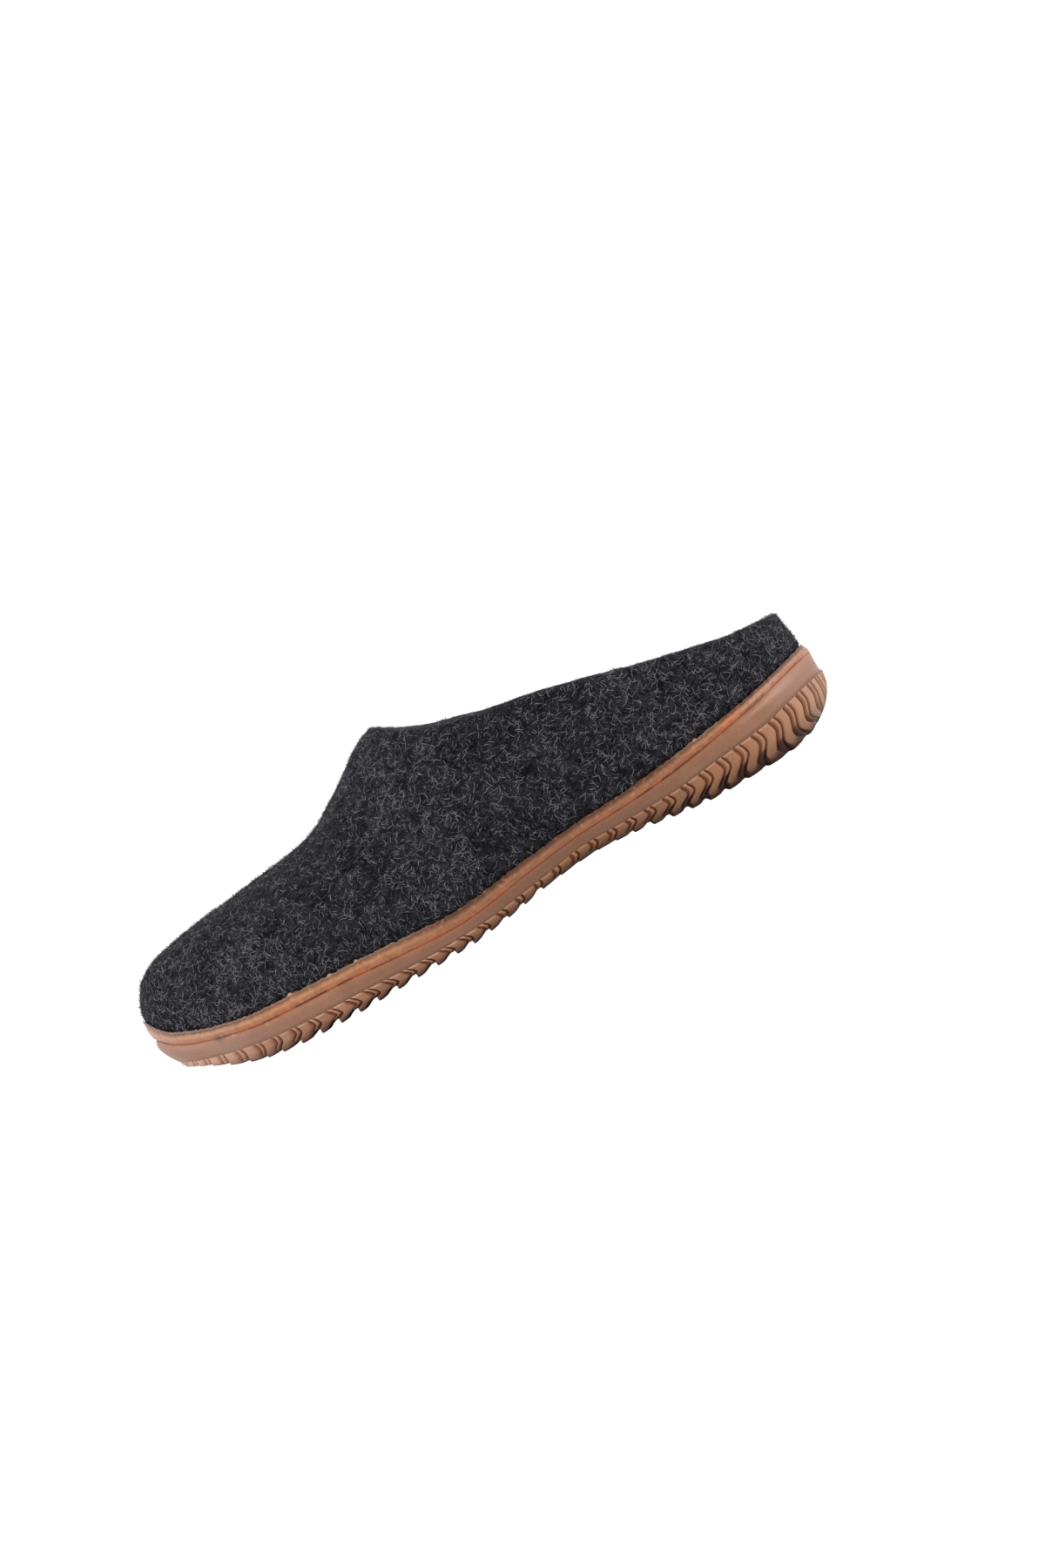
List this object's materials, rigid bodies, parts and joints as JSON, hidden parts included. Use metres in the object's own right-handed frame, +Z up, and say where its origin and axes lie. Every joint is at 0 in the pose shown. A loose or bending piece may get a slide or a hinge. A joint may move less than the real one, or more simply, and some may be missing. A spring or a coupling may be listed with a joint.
{
  "type": "felted wool slipper",
  "caption": "Slip-on house shoe with a one-piece felted wool upper, an open collar, a rubber rand and a lugged moulded rubber sole, for a left foot.",
  "frame": {"origin": "middle of the slipper's length and breadth, on the floor under its tread", "axes": "+X from toe to heel, -Y towards the outer side of the foot, +Z up from the floor"},
  "size_m": [0.2879, 0.1116, 0.09],
  "materials": {
    "sole_rubber": "satin moulded natural rubber",
    "rand_rubber": "satin moulded natural rubber",
    "upper_felt": "felted wool with a short fibre nap",
    "insole_felt": "felted wool"
  },
  "bodies": {
    "root": {"outsole": "sole_rubber", "rand": "rand_rubber", "upper": "upper_felt", "insole": "insole_felt"}
  },
  "joints": []
}
